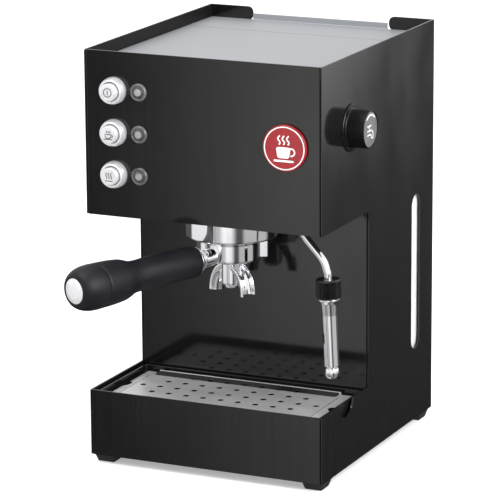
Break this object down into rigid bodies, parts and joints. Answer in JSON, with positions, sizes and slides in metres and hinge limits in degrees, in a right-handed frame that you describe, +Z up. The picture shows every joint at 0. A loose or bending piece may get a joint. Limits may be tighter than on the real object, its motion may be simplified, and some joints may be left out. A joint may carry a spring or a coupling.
{
  "type": "espresso machine",
  "caption": "Home espresso machine in a C-shaped black casing: portafilter with twin spout, steam wand with knob, lift-out drip tray and water tank.",
  "frame": {"origin": "middle of the base of the whole object's bounding box, on the surface that the feet stand on", "axes": "+Z up, -Y towards the user (the front panel and the handle), +X to the right (the side with the steam knob)"},
  "size_m": [0.249, 0.382, 0.384],
  "materials": {
    "black_enamel": "gloss black",
    "brushed_steel": "brushed",
    "chrome": "polished chrome plate",
    "satin_silver": "satin silver",
    "black_plastic": "satin black",
    "grip_plastic": "soft matt black",
    "grey_plastic": "satin dark grey",
    "black_rubber": "matt",
    "lamp_lens": "clear grey lens",
    "red_enamel": "gloss red enamel in a silver rim",
    "brass": "machined",
    "copper": "drawn copper tube",
    "cast_alloy": "as cast",
    "clear_plastic": "clear moulded plastic",
    "silicone": "translucent silicone"
  },
  "bodies": {
    "chassis": {"badge": "red_enamel", "base_front_panel": "black_enamel", "base_plate": "black_enamel", "bay_partition": "black_enamel", "boiler": "cast_alloy", "brew_bezel": "satin_silver", "brew_lamp": "lamp_lens", "brew_switch": "black_plastic", "column_front_plate": "black_enamel", "cup_tray": "brushed_steel", "front_left_foot": "black_rubber", "front_right_foot": "black_rubber", "group_gasket": "black_rubber", "group_ring": "chrome", "head_underside_plate": "black_enamel", "heater_band": "brushed_steel", "left_side_panel": "black_enamel", "power_bezel": "satin_silver", "power_inlet": "black_plastic", "power_lamp": "lamp_lens", "power_switch": "black_plastic", "pressure_pipe": "copper", "pump": "black_plastic", "pump_bracket": "brushed_steel", "rear_left_foot": "black_rubber", "rear_panel": "black_enamel", "rear_right_foot": "black_rubber", "right_side_panel": "black_enamel", "screen_screw": "brushed_steel", "shower_screen": "brushed_steel", "steam_bezel": "satin_silver", "steam_lamp": "lamp_lens", "steam_pipe": "copper", "steam_switch": "black_plastic", "steam_valve": "brass", "suction_hose": "silicone", "tank_socket": "black_plastic", "thermostat": "black_plastic", "upper_front_panel": "black_enamel", "wand_nut": "chrome"},
    "power_button_body": {"power_button": "satin_silver"},
    "brew_button_body": {"brew_button": "satin_silver"},
    "steam_button_body": {"steam_button": "satin_silver"},
    "knob": {"steam_knob": "black_plastic", "knob_insert": "grey_plastic", "valve_spindle": "brass"},
    "portafilter": {"portafilter_body": "chrome", "filter_basket": "brushed_steel", "portafilter_handle": "grip_plastic", "handle_end_cap": "brushed_steel", "portafilter_spout": "chrome"},
    "wand": {"steam_wand": "chrome", "frother_sleeve": "chrome", "frother_tip": "chrome"},
    "collar": {"wand_collar": "black_plastic"},
    "tray": {"drip_tray": "black_plastic"},
    "grill": {"drip_grill": "brushed_steel"},
    "tank": {"water_tank": "clear_plastic", "tank_valve": "black_plastic"},
    "lid": {"tank_lid": "brushed_steel"}
  },
  "joints": [
    {"name": "power_press", "type": "slide", "parent": "chassis", "child": "power_button_body", "axis": [0, 1, 0], "range_m": [0, 0.003], "stiffness_N_per_m": 600},
    {"name": "brew_press", "type": "slide", "parent": "chassis", "child": "brew_button_body", "axis": [0, 1, 0], "range_m": [0, 0.003], "stiffness_N_per_m": 600},
    {"name": "steam_press", "type": "slide", "parent": "chassis", "child": "steam_button_body", "axis": [0, 1, 0], "range_m": [0, 0.003], "stiffness_N_per_m": 600},
    {"name": "steam_knob_turn", "type": "hinge", "parent": "chassis", "child": "knob", "pos_m": [0.1055, -0.00903, 0.319], "axis": [1, 0, 0], "range_deg": [0, 270]},
    {"name": "portafilter_turn", "type": "hinge", "parent": "chassis", "child": "portafilter", "pos_m": [-0.0095, -0.01303, 0.2252], "axis": [0, 0, 1], "range_deg": [-25, 30]},
    {"name": "wand_swivel", "type": "hinge", "parent": "chassis", "child": "wand", "pos_m": [0.0685, -0.03103, 0.2392], "axis": [0, 0, 1], "range_deg": [-80, 45]},
    {"name": "collar_turn", "type": "hinge", "parent": "wand", "child": "collar", "pos_m": [0.0941, -0.03403, 0.1866], "axis": [-0.0471, 0, 0.9989], "continuous": true},
    {"name": "drip_tray_lift", "type": "slide", "parent": "chassis", "child": "tray", "axis": [0, 0, 1], "range_m": [0, 0.02]},
    {"name": "drip_grill_lift", "type": "slide", "parent": "tray", "child": "grill", "axis": [0, 0, 1], "range_m": [0, 0.006]},
    {"name": "tank_lift", "type": "slide", "parent": "chassis", "child": "tank", "axis": [0, 0, 1], "range_m": [0, 0.3]},
    {"name": "lid_lift", "type": "slide", "parent": "tank", "child": "lid", "axis": [0, 0, 1], "range_m": [0, 0.06]}
  ]
}
